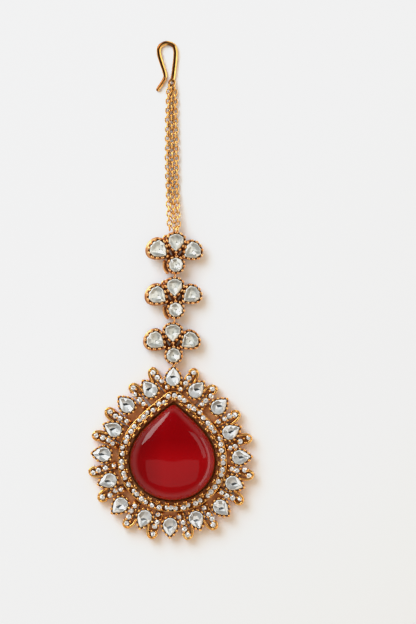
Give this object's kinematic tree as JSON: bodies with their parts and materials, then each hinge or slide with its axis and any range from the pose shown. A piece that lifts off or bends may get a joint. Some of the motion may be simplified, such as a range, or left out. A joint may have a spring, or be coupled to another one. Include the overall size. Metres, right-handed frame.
{
  "type": "maang tikka",
  "caption": "Forehead ornament: hair hook, three-strand chain, trefoil stone units and a pear-shaped pendant with a domed red stone in pavé and pear-stone rows.",
  "frame": {"origin": "middle of the jewel's length and width, on the surface that it lies on", "axes": "+Y along the jewel from the pendant to the hair hook, +X to its right seen from the front, +Z out of its face"},
  "size_m": [0.0382, 0.1156, 0.0071],
  "materials": {
    "gold": "antique gold plating, bright on the edges and dark in the recesses",
    "rose_gold": "reddish gold plating, satin",
    "clear_stone": "foil-backed uncut stone, glossy with grey streaks",
    "cloudy_stone": "cloudy foil-backed stone, glossy",
    "red_stone": "polished translucent red dome with a lighter rim"
  },
  "bodies": {
    "root": {"hook": "gold", "chain": "gold", "jump_ring_1": "rose_gold", "jump_ring_2": "rose_gold", "jump_ring_3": "rose_gold", "jump_ring_4": "rose_gold", "flower_1_setting": "rose_gold", "flower_1_stone_top": "cloudy_stone", "flower_1_stone_left": "cloudy_stone", "flower_1_stone_right": "cloudy_stone", "flower_1_stone_round": "cloudy_stone", "flower_2_setting": "rose_gold", "flower_2_stone_top": "cloudy_stone", "flower_2_stone_left": "cloudy_stone", "flower_2_stone_right": "cloudy_stone", "flower_2_stone_round": "cloudy_stone", "flower_3_setting": "rose_gold", "flower_3_stone_top": "cloudy_stone", "flower_3_stone_left": "cloudy_stone", "flower_3_stone_right": "cloudy_stone", "flower_3_stone_round": "cloudy_stone", "pendant_setting": "gold", "pear_stone_01": "clear_stone", "pear_stone_02": "clear_stone", "pear_stone_03": "clear_stone", "pear_stone_04": "clear_stone", "pear_stone_05": "clear_stone", "pear_stone_06": "clear_stone", "pear_stone_07": "clear_stone", "pear_stone_08": "clear_stone", "pear_stone_09": "clear_stone", "pear_stone_10": "clear_stone", "pear_stone_11": "clear_stone", "pear_stone_12": "clear_stone", "pear_stone_13": "clear_stone", "pear_stone_14": "clear_stone", "pear_stone_15": "clear_stone", "pear_stone_16": "clear_stone", "cabochon": "red_stone"}
  },
  "joints": []
}
